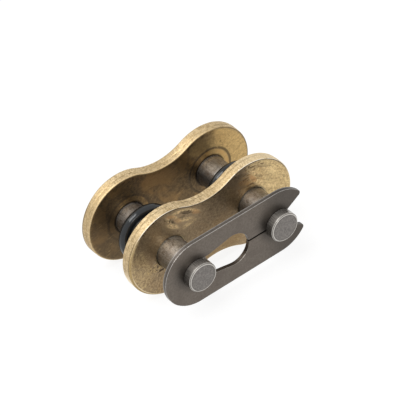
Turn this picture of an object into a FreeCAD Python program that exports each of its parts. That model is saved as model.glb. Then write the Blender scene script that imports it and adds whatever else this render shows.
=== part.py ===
import FreeCAD, Part
import math
import os

# Clip-type connecting link of a sealed roller chain, in millimetres.
# X runs from pin to pin, Y along the pins with -Y towards the clip, Z up.
# The origin is on the surface that the plates stand on, under the middle of the link.

# Chain size
PITCH = 15.875               # pin centre to pin centre, 5/8 inch chain
PIN_RADIUS = 2.62

# Outer plates, seen from the clip side as a figure of eight
LOBE_RADIUS = 7.75           # round end about each pin
WAIST_HALF_HEIGHT = 5.8      # half the plate's height midway between the pins
PLATE_THICKNESS = 2.0
PLATE_OUTER_ROUND = 0.3      # rolled edge of the outward face, left by the punch
PLATE_INNER_ROUND = 0.2      # tumbled edge of the inward face
PLATE_GAP = 8.76             # between the two plates, with the cover pushed in
COVER_HOLE_CLEARANCE = 0.05  # radial, cover plate on the pins
COVER_HOLE_ROUND = 0.15      # edges of the cover plate's holes
RING_MARK_WIDTH = 0.5        # track coined by the sealing ring into the inner faces
RING_MARK_DEPTH = 0.12

# Pins
PIN_REACH = 18.95            # from the rear plate's inner face to the free end
PIN_TIP_LENGTH = 1.52        # free end beyond the clip groove
PIN_TIP_RELIEF = 0.1         # radial, the free end is turned slightly smaller
PIN_TIP_CHAMFER = 0.15       # radial
PIN_TIP_CHAMFER_LENGTH = 0.2
GROOVE_RADIUS = 2.0          # bottom of the clip groove
RIVET_SPREAD = 0.25          # how much the riveted end grows into its countersink
RIVET_HEIGHT = 0.35          # riveted end beyond the rear plate's outer face
RIVET_CHAMFER = 0.15
STAKE_RADIUS = 1.5           # ring struck into the riveted end
STAKE_WIDTH = 0.5
STAKE_DEPTH = 0.15

# Sealing rings
RING_MEAN_RADIUS = 3.95
RING_SECTION_RADIUS = 0.95
RING_HANG_CLEARANCE = 0.05   # top of the pin to the ring that hangs on it
RING_COVER_CLEARANCE = 0.08  # front ring to the cover plate
LEFT_RING_SPACING = 1.73     # free gap between the left pin's two rings
RIGHT_RING_SPACING = 0.18    # free gap between the right pin's two rings

# Spring clip
CLIP_THICKNESS = 0.8
CLIP_END_RADIUS = 5.88       # outline about each pin
CLIP_GROOVE_CLEARANCE = 0.05 # each face of the clip to its groove wall
CLIP_SEAT_CLEARANCE = 0.05   # radial, clip seat on the groove's bottom
CLIP_EDGE_ROUND = 0.12
KEYHOLE_CLEARANCE = 0.38     # radial, the big hole passes over the pin's free end
KEYHOLE_OFFSET = 7.1         # from the closed end's pin to the big hole's centre
KEYHOLE_NECK = 2.6           # from the closed end's pin to where the slot widens
SLIT_WIDTH = 0.28
MOUTH_HALF_ANGLE = 31.0      # each flared prong against the link's length, degrees
MOUTH_THROAT = 1.35          # half the gap between the prongs where they grip the pin
PRONG_TIP_ROUND = 0.55

# Worked-out places
AXIS_HEIGHT = LOBE_RADIUS
PIN_X = {"left": -PITCH / 2, "right": PITCH / 2}
RIVET_END = PLATE_THICKNESS + RIVET_HEIGHT
PIN_TIP_RADIUS = PIN_RADIUS - PIN_TIP_RELIEF
MIDDLE_SHIFT = (PIN_REACH - RIVET_END) / 2
REAR_INNER_Y = MIDDLE_SHIFT
REAR_OUTER_Y = REAR_INNER_Y + PLATE_THICKNESS
RIVET_END_Y = REAR_INNER_Y + RIVET_END
COVER_INNER_Y = REAR_INNER_Y - PLATE_GAP
COVER_OUTER_Y = COVER_INNER_Y - PLATE_THICKNESS
PIN_END_Y = REAR_INNER_Y - PIN_REACH
GROOVE_FRONT_Y = PIN_END_Y + PIN_TIP_LENGTH
GROOVE_REAR_Y = GROOVE_FRONT_Y + CLIP_THICKNESS + 2 * CLIP_GROOVE_CLEARANCE
CLIP_FRONT_Y = GROOVE_FRONT_Y + CLIP_GROOVE_CLEARANCE
CLIP_REAR_Y = CLIP_FRONT_Y + CLIP_THICKNESS
FRONT_RING_Y = COVER_INNER_Y + RING_COVER_CLEARANCE + RING_SECTION_RADIUS
REAR_RING_Y = {
    "left": FRONT_RING_Y + 2 * RING_SECTION_RADIUS + LEFT_RING_SPACING,
    "right": FRONT_RING_Y + 2 * RING_SECTION_RADIUS + RIGHT_RING_SPACING,
}
RING_DROP = RING_MEAN_RADIUS - RING_SECTION_RADIUS - PIN_RADIUS - RING_HANG_CLEARANCE

ALONG_PINS = FreeCAD.Vector(0, 1, 0)
OVERCUT = 1.0                # how far a cutting tool runs past the face that it cuts


def point(x, y, height):
    """A point given by its height above the pins' axes."""
    return FreeCAD.Vector(x, y, AXIS_HEIGHT + height)


def disc(x, radius, y_low, y_high):
    """A round bar along the pins' direction, at the height of the pins."""
    return Part.makeCylinder(radius, y_high - y_low, point(x, y_low, 0), ALONG_PINS)


def slab(x_low, x_high, half_height, y_low, y_high):
    """A straight bar across the pins' direction, centred on the height of the pins."""
    corner = point(x_low, y_low, -half_height)
    return Part.makeBox(x_high - x_low, y_high - y_low, 2 * half_height, corner)


def polar(centre, radius, angle):
    """A point on a circle in the plates' plane; the angle is in degrees from +X to +Z."""
    turn = math.radians(angle)
    offset = FreeCAD.Vector(radius * math.cos(turn), 0, radius * math.sin(turn))
    return centre + offset


def arc(centre, radius, start, end):
    """An arc in the plates' plane between two angles in degrees."""
    middle = (start + end) / 2
    ends = [polar(centre, radius, angle) for angle in (start, middle, end)]
    return Part.Arc(*ends).toShape()


def flat_face(solid, direction):
    """The largest face of a flat piece that looks along +Y (1) or -Y (-1)."""
    found = [face for face in solid.Faces if face.normalAt(0, 0).y * direction > 1 - 1e-6]
    return max(found, key=lambda face: face.Area)


def round_outline(solid, direction, radius):
    """Rounds the outer outline of one face of a flat piece."""
    return solid.makeFillet(radius, flat_face(solid, direction).OuterWire.Edges)


def plate_blank(y_low, outward):
    """The figure-of-eight plate: two round lobes joined by hollow waists."""
    waist_radius = ((PITCH / 2) ** 2 + WAIST_HALF_HEIGHT ** 2 - LOBE_RADIUS ** 2)
    waist_radius = waist_radius / (2 * (LOBE_RADIUS - WAIST_HALF_HEIGHT))
    waist_height = WAIST_HALF_HEIGHT + waist_radius
    touch = math.degrees(math.atan2(waist_height, PITCH / 2))
    right = point(PIN_X["right"], y_low, 0)
    left = point(PIN_X["left"], y_low, 0)
    above = point(0, y_low, waist_height)
    below = point(0, y_low, -waist_height)
    edges = [
        arc(right, LOBE_RADIUS, touch - 180, 180 - touch),
        arc(above, waist_radius, -touch, touch - 180),
        arc(left, LOBE_RADIUS, touch, 360 - touch),
        arc(below, waist_radius, 180 - touch, touch),
    ]
    face = Part.Face(Part.Wire(edges))
    plate = face.extrude(ALONG_PINS * PLATE_THICKNESS)
    plate = round_outline(plate, outward, PLATE_OUTER_ROUND)
    return round_outline(plate, -outward, PLATE_INNER_ROUND)


def ring_mark(x, inner_face_y, into):
    """The shallow round track that a sealing ring presses into an inner face."""
    y_low = min(inner_face_y, inner_face_y + into * RING_MARK_DEPTH)
    y_high = y_low + RING_MARK_DEPTH
    outer = disc(x, RING_MEAN_RADIUS + RING_MARK_WIDTH / 2, y_low, y_high)
    inner = disc(x, RING_MEAN_RADIUS - RING_MARK_WIDTH / 2, y_low, y_high)
    return outer.cut(inner)


def countersink(x):
    """The flared mouth of a rear plate hole, filled by the riveted pin end."""
    start = point(x, REAR_OUTER_Y - RIVET_SPREAD, 0)
    return Part.makeCone(PIN_RADIUS, PIN_RADIUS + RIVET_SPREAD, RIVET_SPREAD, start, ALONG_PINS)


def rear_plate():
    plate = plate_blank(REAR_INNER_Y, 1)
    for x in PIN_X.values():
        plate = plate.cut(disc(x, PIN_RADIUS, REAR_INNER_Y - OVERCUT, REAR_OUTER_Y + OVERCUT))
        plate = plate.cut(countersink(x))
        plate = plate.cut(ring_mark(x, REAR_INNER_Y, 1))
    return plate


def hole_rims(plate, radius):
    """The circular edges where a plate's round holes meet its faces."""
    round_edges = [edge for edge in plate.Edges if edge.Curve.TypeId == "Part::GeomCircle"]
    return [edge for edge in round_edges if abs(edge.Curve.Radius - radius) < 1e-6]


def cover_plate():
    plate = plate_blank(COVER_OUTER_Y, -1)
    hole_radius = PIN_RADIUS + COVER_HOLE_CLEARANCE
    for x in PIN_X.values():
        plate = plate.cut(disc(x, hole_radius, COVER_OUTER_Y - OVERCUT, COVER_INNER_Y + OVERCUT))
    plate = plate.makeFillet(COVER_HOLE_ROUND, hole_rims(plate, hole_radius))
    for x in PIN_X.values():
        plate = plate.cut(ring_mark(x, COVER_INNER_Y, -1))
    return plate


def pin(x):
    """A turned pin: chamfered tip, clip groove, plain journal, riveted end."""
    rivet_radius = PIN_RADIUS + RIVET_SPREAD
    stake_inner = STAKE_RADIUS - STAKE_WIDTH / 2
    stake_outer = STAKE_RADIUS + STAKE_WIDTH / 2
    profile = [
        (0, PIN_END_Y),
        (PIN_TIP_RADIUS - PIN_TIP_CHAMFER, PIN_END_Y),
        (PIN_TIP_RADIUS, PIN_END_Y + PIN_TIP_CHAMFER_LENGTH),
        (PIN_TIP_RADIUS, GROOVE_FRONT_Y),
        (GROOVE_RADIUS, GROOVE_FRONT_Y),
        (GROOVE_RADIUS, GROOVE_REAR_Y),
        (PIN_RADIUS, GROOVE_REAR_Y),
        (PIN_RADIUS, REAR_OUTER_Y - RIVET_SPREAD),
        (rivet_radius, REAR_OUTER_Y),
        (rivet_radius, RIVET_END_Y - RIVET_CHAMFER),
        (rivet_radius - RIVET_CHAMFER, RIVET_END_Y),
        (stake_outer, RIVET_END_Y),
        (STAKE_RADIUS, RIVET_END_Y - STAKE_DEPTH),
        (stake_inner, RIVET_END_Y),
        (0, RIVET_END_Y),
    ]
    corners = [point(x + radius, y, 0) for radius, y in profile]
    half_section = Part.Face(Part.makePolygon(corners + corners[:1]))
    return half_section.revolve(point(x, 0, 0), ALONG_PINS, 360)


def sealing_ring(x, y):
    """A round-section ring, hanging on its pin."""
    centre = point(x, y, -RING_DROP)
    return Part.makeTorus(RING_MEAN_RADIUS, RING_SECTION_RADIUS, centre, ALONG_PINS)


def clip_blank():
    """The clip's outline: a long round-ended strip, cut to two prongs at its open end."""
    left = disc(PIN_X["left"], CLIP_END_RADIUS, CLIP_FRONT_Y, CLIP_REAR_Y)
    right = disc(PIN_X["right"], CLIP_END_RADIUS, CLIP_FRONT_Y, CLIP_REAR_Y)
    middle = slab(PIN_X["left"], PIN_X["right"], CLIP_END_RADIUS, CLIP_FRONT_Y, CLIP_REAR_Y)
    return left.fuse([middle, right]).removeSplitter()


def mouth_cut(seat_radius):
    """The flared way in between the prongs, from the open end's seat outwards."""
    slope = math.tan(math.radians(MOUTH_HALF_ANGLE))
    start = PIN_X["right"] + math.sqrt(seat_radius ** 2 - MOUTH_THROAT ** 2)
    end = PIN_X["right"] + CLIP_END_RADIUS + OVERCUT
    flare = MOUTH_THROAT + (end - start) * slope
    y_low = CLIP_FRONT_Y - OVERCUT
    corners = [
        point(PIN_X["right"], y_low, 0),
        point(start, y_low, -MOUTH_THROAT),
        point(end, y_low, -flare),
        point(end, y_low, flare),
        point(start, y_low, MOUTH_THROAT),
    ]
    face = Part.Face(Part.makePolygon(corners + corners[:1]))
    return face.extrude(ALONG_PINS * (CLIP_THICKNESS + 2 * OVERCUT))


def keyhole_cut(seat_radius):
    """The closed end's seat and straight neck, widening along tangents into the big hole."""
    big_radius = PIN_TIP_RADIUS + KEYHOLE_CLEARANCE
    flare_length = KEYHOLE_OFFSET - KEYHOLE_NECK
    reach = math.hypot(flare_length, seat_radius)
    lean = math.degrees(math.asin(big_radius / reach) - math.atan2(seat_radius, flare_length))
    y_low = CLIP_FRONT_Y - OVERCUT
    seat = point(PIN_X["left"], y_low, 0)
    big = point(PIN_X["left"] + KEYHOLE_OFFSET, y_low, 0)
    seat_top = polar(seat, seat_radius, 90)
    seat_bottom = polar(seat, seat_radius, 270)
    neck = FreeCAD.Vector(KEYHOLE_NECK, 0, 0)
    edges = [
        arc(seat, seat_radius, 90, 270),
        Part.makeLine(seat_bottom, seat_bottom + neck),
        Part.makeLine(seat_bottom + neck, polar(big, big_radius, -90 - lean)),
        arc(big, big_radius, -90 - lean, 90 + lean),
        Part.makeLine(polar(big, big_radius, 90 + lean), seat_top + neck),
        Part.makeLine(seat_top + neck, seat_top),
    ]
    face = Part.Face(Part.Wire(edges))
    return face.extrude(ALONG_PINS * (CLIP_THICKNESS + 2 * OVERCUT))


def is_prong_tip(edge):
    """True for the sharp outer corner of each prong, through the clip's thickness."""
    ends = [vertex.Point for vertex in edge.Vertexes]
    if len(ends) != 2:
        return False
    through = math.hypot(ends[0].x - ends[1].x, ends[0].z - ends[1].z) < 1e-6
    from_pin = math.hypot(ends[0].x - PIN_X["right"], ends[0].z - AXIS_HEIGHT)
    past_pin = ends[0].x > PIN_X["right"] + GROOVE_RADIUS
    return through and past_pin and abs(from_pin - CLIP_END_RADIUS) < 1e-3


def spring_clip():
    seat_radius = GROOVE_RADIUS + CLIP_SEAT_CLEARANCE
    y_low = CLIP_FRONT_Y - OVERCUT
    y_high = CLIP_REAR_Y + OVERCUT
    keyhole_x = PIN_X["left"] + KEYHOLE_OFFSET
    clip = clip_blank()
    clip = clip.cut(keyhole_cut(seat_radius))
    clip = clip.cut(slab(keyhole_x, PIN_X["right"], SLIT_WIDTH / 2, y_low, y_high))
    clip = clip.cut(disc(PIN_X["right"], seat_radius, y_low, y_high))
    clip = clip.cut(mouth_cut(seat_radius))
    tips = [edge for edge in clip.Edges if is_prong_tip(edge)]
    clip = clip.makeFillet(PRONG_TIP_ROUND, tips)
    clip = round_outline(clip, -1, CLIP_EDGE_ROUND)
    return round_outline(clip, 1, CLIP_EDGE_ROUND)


def export(name, solid):
    solid.exportStep("parts/" + name + ".step")


def main():
    os.makedirs("parts", exist_ok=True)
    export("rear_plate", rear_plate())
    export("cover_plate", cover_plate())
    export("spring_clip", spring_clip())
    for side, x in PIN_X.items():
        export(side + "_pin", pin(x))
        export(side + "_front_ring", sealing_ring(x, FRONT_RING_Y))
        export(side + "_rear_ring", sealing_ring(x, REAR_RING_Y[side]))


main()
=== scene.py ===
import math

import bmesh
import bpy
from mathutils import Matrix, Vector, geometry, noise


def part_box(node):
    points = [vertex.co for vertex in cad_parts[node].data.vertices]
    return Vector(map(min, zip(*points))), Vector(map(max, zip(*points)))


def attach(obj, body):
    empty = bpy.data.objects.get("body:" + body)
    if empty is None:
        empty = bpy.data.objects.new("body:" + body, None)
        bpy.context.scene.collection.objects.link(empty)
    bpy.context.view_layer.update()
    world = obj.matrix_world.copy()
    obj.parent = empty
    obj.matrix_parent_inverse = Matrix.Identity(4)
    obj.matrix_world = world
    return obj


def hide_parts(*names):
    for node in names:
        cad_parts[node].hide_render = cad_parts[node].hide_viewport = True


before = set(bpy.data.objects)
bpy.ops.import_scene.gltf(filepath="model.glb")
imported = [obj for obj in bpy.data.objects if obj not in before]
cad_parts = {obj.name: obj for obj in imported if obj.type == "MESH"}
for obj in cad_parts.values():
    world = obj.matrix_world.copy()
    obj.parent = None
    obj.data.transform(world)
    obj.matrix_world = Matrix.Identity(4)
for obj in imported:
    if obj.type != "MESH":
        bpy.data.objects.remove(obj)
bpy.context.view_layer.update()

MM = 0.001


def middle(node):
    """The middle of a CAD node's box."""
    low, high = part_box(node)
    return (low + high) / 2


def outer_face_y(node, outward):
    """Where a plate's outward face lies along the pins, in millimetres; outward is 1 or -1."""
    low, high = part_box(node)
    return (high if outward > 0 else low).y / MM


# Places taken from the frame
LEFT_PIN_X = middle("left_pin").x
RIGHT_PIN_X = middle("right_pin").x
AXIS_Z = middle("left_pin").z

# Sizes in millimetres, the same as in the CAD model
HALF_PITCH = (RIGHT_PIN_X - LEFT_PIN_X) / 2 / MM
PIN_PLACES = (-HALF_PITCH, HALF_PITCH)
PIN_RADIUS = 2.62
PIN_TIP_RADIUS = 2.52
PIN_TIP_CHAMFER = 0.15
END_FACE_RADIUS = PIN_TIP_RADIUS - PIN_TIP_CHAMFER
LOBE_RADIUS = AXIS_Z / MM
WAIST_HALF_HEIGHT = 5.8
PLATE_THICKNESS = 2.0
RING_TRACK_RADIUS = 3.95

# Where the pins' free ends stop and start, and the clip's rear face, in millimetres
PIN_END_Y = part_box("left_pin")[0].y / MM
TIP_START_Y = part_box("spring_clip")[0].y / MM
CLIP_REAR_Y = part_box("spring_clip")[1].y / MM

# Holes as (radius, depth) from the outward face: countersunk for the rivets, or rounded at both ends
COUNTERSINK = 0.25
REAR_HOLE = [(PIN_RADIUS + COUNTERSINK, 0.0), (PIN_RADIUS, COUNTERSINK), (PIN_RADIUS, PLATE_THICKNESS)]
COVER_HOLE_CLEARANCE = 0.05
COVER_BORE = PIN_RADIUS + COVER_HOLE_CLEARANCE
COVER_ROUNDING = ((0.15, 0.0), (0.07, 0.03), (0.02, 0.08), (0.0, 0.15))
COVER_HOLE = [(COVER_BORE + wider, depth) for wider, depth in COVER_ROUNDING]
COVER_HOLE += [(radius, PLATE_THICKNESS - depth) for radius, depth in reversed(COVER_HOLE)]

# Camera, measured from the photograph's perspective
EYE = Vector((-134.302, -215.766, 233.387)) * MM
AZIMUTH = math.radians(-32.152)
ELEVATION = math.radians(41.3425)
ROLL = math.radians(-8.2787)
LENS = 190.375
SENSOR = 36.0

# Studio: the floor's radius in metres, its grey in bounces, its grey and glow as seen, and the sky's light
FLOOR_RADIUS = 4.0
FLOOR_GREY = 0.62
FLOOR_SEEN_GREY = 0.20
FLOOR_GLOW = 0.86
SKY_LIGHT = 0.36

# Colours are linear red, green and blue; a pair runs from the darker to the lighter tone
EDGE_GRAIN = (0.39, 0.280, 0.142), (0.77, 0.612, 0.372)
EDGE_CLOUD = (0.44, 0.31, 0.15)
EDGE_SPECK = (0.14, 0.09, 0.045)
# painted shade on parts of the edge
EDGE_PAINTED_SHADE = (0.40, 0.285, 0.14)
EDGE_RUBBED = (0.88, 0.73, 0.48)
# painted light on the cover's lower left edge
EDGE_PAINTED_LIGHT = (0.92, 0.78, 0.55)
TORN_LINE = (0.17, 0.11, 0.05)

COVER_FILM = (0.212, 0.149, 0.085), (0.435, 0.320, 0.188)
COVER_GOLD = (0.49, 0.340, 0.152), (0.74, 0.565, 0.280)
REAR_FILM = (0.090, 0.060, 0.032), (0.236, 0.156, 0.073)
REAR_GOLD = (0.52, 0.335, 0.125), (0.76, 0.54, 0.230)
WARM_FILM = (0.360, 0.215, 0.082)
# painted shade on the cover's upper right
PAINTED_SHADE_FILM = (0.125, 0.085, 0.050)
LOW_FILM = (0.13, 0.09, 0.05)
WAIST_FILM = (0.250, 0.160, 0.068)
REAR_LEFT_FILM = (0.085, 0.058, 0.032)
RUST = (0.42, 0.245, 0.095)
STAIN = (0.070, 0.045, 0.024)
SCRAPED_GROUND = (0.38, 0.270, 0.150)
SCRATCH_GOLD = (0.50, 0.350, 0.180), (0.92, 0.680, 0.350)
SCRATCH_RUDDY = (0.55, 0.310, 0.130)
SCRATCH_DARK = (0.055, 0.038, 0.024)
TRACK_BARED = (0.56, 0.345, 0.125)
TRACK_GRIME = (0.055, 0.038, 0.022)
# painted shade at the holes
HOLE_PAINTED_SHADE = (0.020, 0.015, 0.010)

RIM_GOLD = (0.31, 0.215, 0.095), (0.52, 0.390, 0.190)
RIM_SPECK = (0.17, 0.11, 0.055)
RIM_START = (0.10, 0.07, 0.04)
RIM_SHADE = (0.06, 0.042, 0.025)
# painted highlight
RIM_PAINTED_HIGHLIGHT = (0.90, 0.85, 0.75)
# painted shade on the outward roll
ROLL_PAINTED_SHADE = (0.40, 0.29, 0.145)
# painted highlight on the inward rim
INNER_RIM_HIGHLIGHT = (0.70, 0.53, 0.29)
INNER_RIM_DARK = (0.07, 0.045, 0.022)

JOURNAL = (0.200, 0.188, 0.176), (0.56, 0.545, 0.52)
JOURNAL_BROWN = (0.24, 0.195, 0.155)
JOURNAL_LIGHT = (0.62, 0.605, 0.58)
# painted highlight
JOURNAL_PAINTED_HIGHLIGHT = (0.86, 0.835, 0.79)
# painted shade over the right pin
JOURNAL_PAINTED_SHADE = (0.10, 0.085, 0.070)
PIN_SPECK = (0.08, 0.063, 0.050)
# painted shade underneath
PIN_PAINTED_SHADE = (0.055, 0.050, 0.045)
TIP_TURNED = (0.25, 0.232, 0.215), (0.49, 0.465, 0.43)
# painted shade underneath
TIP_PAINTED_SHADE = (0.06, 0.054, 0.048)
# painted shade on the chamfer
TIP_CHAMFER = (0.16, 0.145, 0.13)
# painted highlight lines
TIP_PAINTED_HIGHLIGHT = (0.70, 0.67, 0.62)
END_FACE = (0.135, 0.124, 0.114), (0.225, 0.206, 0.190)
END_LIGHT = (0.30, 0.28, 0.26)
END_SPOT = (0.07, 0.062, 0.055)
END_RING = (0.08, 0.072, 0.065)
# rim: wear and painted highlight
END_RIM_WEAR_AND_HIGHLIGHT = (0.55, 0.52, 0.48)

BLUED = (0.118, 0.100, 0.084), (0.174, 0.149, 0.126)
BLUED_CLOUD = (0.118, 0.098, 0.083)
# painted shade at the clip's right end
CLIP_PAINTED_SHADE = (0.060, 0.053, 0.047)
# painted shadow round the pins' tips
CLIP_PAINTED_SHADOW = (0.050, 0.045, 0.040)
# painted shade on the walls
CLIP_WALL_PAINTED_SHADE = (0.045, 0.041, 0.038)
# rims: wear and painted highlight
CLIP_RIM_WEAR_AND_HIGHLIGHT = (0.62, 0.60, 0.57)

RUBBER = (0.009, 0.011, 0.013), (0.020, 0.023, 0.026)

# Worn and stained places on the plates, and places of painted shade and painted reflection, as (x, z, half
# width, half height), in millimetres from midway between the pins
# the right lobe: rubbed streaks over a painted reflection
COVER_LOBE_WEAR_AND_REFLECTION = (12.6, 1.0, 4.7, 7.6)
COVER_SWEEP = (9.0, 5.0, 2.8, 2.2)
COVER_TOP = (9.8, 6.6, 2.6, 1.1)
COVER_CORNER = (10.0, 3.6, 1.3, 0.9)
COVER_CHIPS = (-11.0, -1.6, 1.9, 0.7)
COVER_NICK = (-10.1, -2.5, 0.6, 0.22)
COVER_LOWER = (-12.0, -5.2, 5.4, 3.0)
COVER_FLANK = (-13.9, -0.6, 1.9, 4.4)
# painted shade
COVER_PAINTED_SHADE = (6.3, 5.6, 2.1, 2.1)
COVER_LOW_SHADE = (-12.0, -5.2, 4.2, 2.6)
COVER_WAIST_SHADE = (1.5, -4.9, 4.0, 2.0)
COVER_RUST = (8.2, 4.4, 2.6, 2.4)
COVER_SCRAPE = (-5.0, 5.1, 3.2, 1.7)
# the right lobe and its upper part: rubbed, and painted reflection
REAR_LOBE_WEAR_AND_REFLECTION = (12.8, 2.4, 4.8, 7.0)
REAR_UPPER_WEAR_AND_REFLECTION = (7.0, 5.4, 2.6, 1.6)
REAR_LEFT_SHADE = (-11.0, -2.5, 6.5, 6.5)

# Scratches on the cover as (x, z, tilt in degrees, length, width, strength)
LIGHT_SCRATCHES = (
    (-6.9, 4.40, -40, 2.8, 0.80, 0.85),
    (-7.5, 5.9, -62, 1.9, 0.65, 0.75),
    (-5.5, 6.45, -12, 2.6, 0.60, 0.90),
    (-3.1, 5.40, -36, 3.4, 0.60, 0.85),
    (-4.6, 4.4, -22, 3.4, 0.80, 0.60),
    (-4.0, 3.15, 6, 3.0, 0.90, 0.50),
    (-6.3, 5.9, -50, 1.4, 0.60, 0.60),
    (8.9, 5.5, -35, 2.4, 0.70, 0.70),
    (9.6, 3.3, -40, 2.8, 0.80, 0.60),
    (12.2, 4.2, -38, 3.4, 0.90, 0.45),
    (11.8, 1.2, -15, 2.6, 0.90, 0.45),
)
RUDDY_SCRATCHES = (
    (8.6, 4.5, -58, 2.0, 0.90, 0.75),
    (7.3, 4.4, -40, 2.6, 1.10, 0.45),
    (-2.5, 4.7, -40, 2.0, 0.80, 0.55),
    (-7.0, 6.4, -30, 1.8, 0.60, 0.60),
    (-5.9, 5.0, -45, 1.8, 0.80, 0.40),
)
DARK_SCRATCHES = (
    (-4.1, 5.55, -27, 2.6, 0.65, 0.85),
    (-4.9, 5.15, -10, 1.2, 0.55, 0.55),
    (-6.85, 5.3, -52, 1.2, 0.46, 1.00),
    (-7.3, 5.7, 58, 0.8, 0.30, 0.90),
    (-7.9, 6.2, -48, 1.2, 0.50, 0.50),
    (9.8, 4.35, -35, 2.0, 0.50, 0.45),
    (10.9, 5.7, -30, 3.2, 0.45, 0.40),
    (9.0, 6.6, -20, 2.6, 0.45, 0.40),
    (11.6, 2.6, -30, 1.6, 0.40, 0.35),
    (14.5, 1.5, -60, 1.0, 0.50, 0.35),
    (6.4, 6.3, -15, 2.4, 0.80, 0.45),
)
SCRATCH_RAGGED = 1.7


def make_camera():
    data = bpy.data.cameras.new("camera")
    data.lens = LENS
    data.sensor_width = SENSOR
    data.clip_start = 0.01
    data.clip_end = 20.0
    camera = bpy.data.objects.new("camera", data)
    bpy.context.scene.collection.objects.link(camera)
    level = math.cos(ELEVATION)
    back = Vector((math.sin(AZIMUTH) * level, -math.cos(AZIMUTH) * level, math.sin(ELEVATION)))
    right = Vector((math.cos(AZIMUTH), math.sin(AZIMUTH), 0))
    unrolled = Matrix((right, back.cross(right), back)).transposed()
    turn = unrolled @ Matrix.Rotation(ROLL, 3, "Z")
    camera.matrix_world = Matrix.Translation(EYE) @ turn.to_4x4()
    bpy.context.scene.camera = camera


def softbox(name, place, size, power):
    """A square area lamp that faces the object; place and size in metres, power in watts."""
    data = bpy.data.lights.new(name, "AREA")
    data.shape = "SQUARE"
    data.size = size
    data.energy = power
    lamp = bpy.data.objects.new(name, data)
    bpy.context.scene.collection.objects.link(lamp)
    lamp.location = place
    aim = Vector((0, 0, AXIS_Z)) - Vector(place)
    lamp.rotation_mode = "QUATERNION"
    lamp.rotation_quaternion = aim.to_track_quat("-Z", "Y")


def seen_rays(tree):
    """1 for rays from the camera, in reflections and through clear things, else 0."""
    rays = tree.nodes.new("ShaderNodeLightPath")
    seen = rays.outputs["Is Camera Ray"]
    for kind in ("Is Glossy Ray", "Is Transmission Ray"):
        either = tree.nodes.new("ShaderNodeMath")
        either.operation = "MAXIMUM"
        tree.links.new(seen, either.inputs[0])
        tree.links.new(rays.outputs[kind], either.inputs[1])
        seen = either.outputs[0]
    return seen


def make_floor():
    """A pale floor that shows white, with the object's own soft shadow on it."""
    bpy.ops.mesh.primitive_circle_add(vertices=96, radius=FLOOR_RADIUS, fill_type="NGON")
    floor = bpy.context.object
    floor.name = "floor"
    material = bpy.data.materials.new("floor_white")
    material.use_nodes = True
    tree = material.node_tree
    tree.nodes.remove(tree.nodes["Principled BSDF"])
    pale = tree.nodes.new("ShaderNodeBsdfDiffuse")
    pale.inputs["Color"].default_value = (FLOOR_GREY, FLOOR_GREY, FLOOR_GREY, 1)
    partly = tree.nodes.new("ShaderNodeBsdfDiffuse")
    partly.inputs["Color"].default_value = (FLOOR_SEEN_GREY, FLOOR_SEEN_GREY, FLOOR_SEEN_GREY, 1)
    glow = tree.nodes.new("ShaderNodeEmission")
    glow.inputs["Color"].default_value = (1, 1, 1, 1)
    glow.inputs["Strength"].default_value = FLOOR_GLOW
    both = tree.nodes.new("ShaderNodeAddShader")
    tree.links.new(partly.outputs[0], both.inputs[0])
    tree.links.new(glow.outputs[0], both.inputs[1])
    chosen = tree.nodes.new("ShaderNodeMixShader")
    tree.links.new(seen_rays(tree), chosen.inputs[0])
    tree.links.new(pale.outputs[0], chosen.inputs[1])
    tree.links.new(both.outputs[0], chosen.inputs[2])
    tree.links.new(chosen.outputs[0], tree.nodes["Material Output"].inputs["Surface"])
    floor.data.materials.append(material)


def make_world():
    """White where it is seen, and a softer light for everything else."""
    world = bpy.data.worlds.new("studio")
    bpy.context.scene.world = world
    world.use_nodes = True
    tree = world.node_tree
    strength = tree.nodes.new("ShaderNodeMapRange")
    tree.links.new(seen_rays(tree), strength.inputs["Value"])
    strength.inputs["To Min"].default_value = SKY_LIGHT
    strength.inputs["To Max"].default_value = 1.0
    back = tree.nodes["Background"]
    back.inputs["Color"].default_value = (1, 1, 1, 1)
    tree.links.new(strength.outputs[0], back.inputs["Strength"])


def between(low, high, part):
    """The number that lies a part of the way from low to high."""
    return low + (high - low) * part


def ramp(value, low, high):
    """0 at low, 1 at high, smooth between."""
    part = min(max((value - low) / (high - low), 0.0), 1.0)
    return part * part * (3 - 2 * part)


def wave(size, *place):
    """Noise from about -1 to 1 whose swells are about size millimetres long."""
    return noise.noise(Vector(place) / size)


def from_nearer_pin(x, z):
    """Distance from the nearer pin's axis in the plates' plane, in millimetres."""
    return math.hypot(abs(x) - HALF_PITCH, z)


class Outline:
    """The plates' outline in their own plane: two lobes joined by hollow waists."""

    def __init__(self, spacing):
        spare = LOBE_RADIUS - WAIST_HALF_HEIGHT
        self.hollow = (HALF_PITCH ** 2 + WAIST_HALF_HEIGHT ** 2 - LOBE_RADIUS ** 2) / (2 * spare)
        self.lift = WAIST_HALF_HEIGHT + self.hollow
        self.lean = math.atan2(HALF_PITCH, self.lift)
        self.samples = []
        quarter = math.pi / 2
        self.add((HALF_PITCH, 0), LOBE_RADIUS, -1, -quarter - self.lean, quarter + self.lean, spacing)
        self.add((0, self.lift), self.hollow, 1, self.lean - quarter, -self.lean - quarter, spacing)
        self.add((-HALF_PITCH, 0), LOBE_RADIUS, -1, quarter - self.lean, 3 * quarter + self.lean, spacing)
        self.add((0, -self.lift), self.hollow, 1, quarter + self.lean, quarter - self.lean, spacing)

    def add(self, centre, radius, sign, start, end, spacing):
        """Samples along one arc; sign is -1 where inwards means towards its centre."""
        count = math.ceil(abs(end - start) * radius / spacing)
        for i in range(count):
            angle = start + (end - start) * i / count
            self.samples.append((centre, radius, sign, math.cos(angle), math.sin(angle)))

    def at(self, index, inwards):
        """A sample's place, moved inwards from the outline."""
        centre, radius, sign, cos, sin = self.samples[index]
        reach = radius + sign * inwards
        return centre[0] + reach * cos, centre[1] + reach * sin

    def depth(self, x, z):
        """How far inside the outline a point lies."""
        below = self.lift - abs(z)
        if math.atan2(abs(x), below) < self.lean:
            return math.hypot(x, below) - self.hollow
        return LOBE_RADIUS - from_nearer_pin(x, z)


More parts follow.
